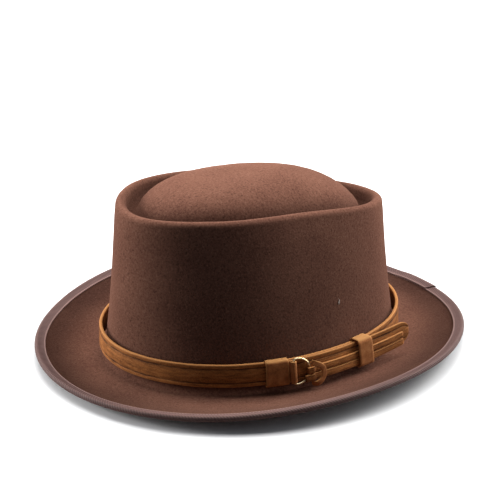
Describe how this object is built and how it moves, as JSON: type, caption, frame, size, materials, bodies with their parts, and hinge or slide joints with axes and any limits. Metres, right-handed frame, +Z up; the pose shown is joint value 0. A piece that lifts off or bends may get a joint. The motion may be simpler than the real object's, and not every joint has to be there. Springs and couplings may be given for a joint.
{
  "type": "pork pie hat",
  "caption": "Felt pork pie hat with a domed crown inside a pressed groove, a softly raised brim bound in ribbon, and a leather belt band with ring, laced tongue and keeper loop",
  "frame": {"origin": "centre of the bounding box's underside, on the surface that the hat rests on", "axes": "+Z up, -Y to the front of the hat, +X to the wearer's left, where the buckle is"},
  "size_m": [0.2728, 0.2996, 0.1201],
  "materials": {
    "felt": "matt brown wool felt with a short nap",
    "ribbon": "ribbed grosgrain ribbon, dull mauve brown",
    "leather": "waxed tan leather with darker burnished streaks",
    "gilt": "polished pale gold plating"
  },
  "bodies": {
    "root": {"felt_body": "felt", "brim_binding": "ribbon", "hatband_strap": "leather", "ring_tab": "leather", "ring_sleeve": "leather", "d_ring": "gilt", "tongue_strap": "leather", "lace_upper": "leather", "lace_lower": "leather", "lace_wrap": "leather", "keeper_loop": "leather"}
  },
  "joints": []
}
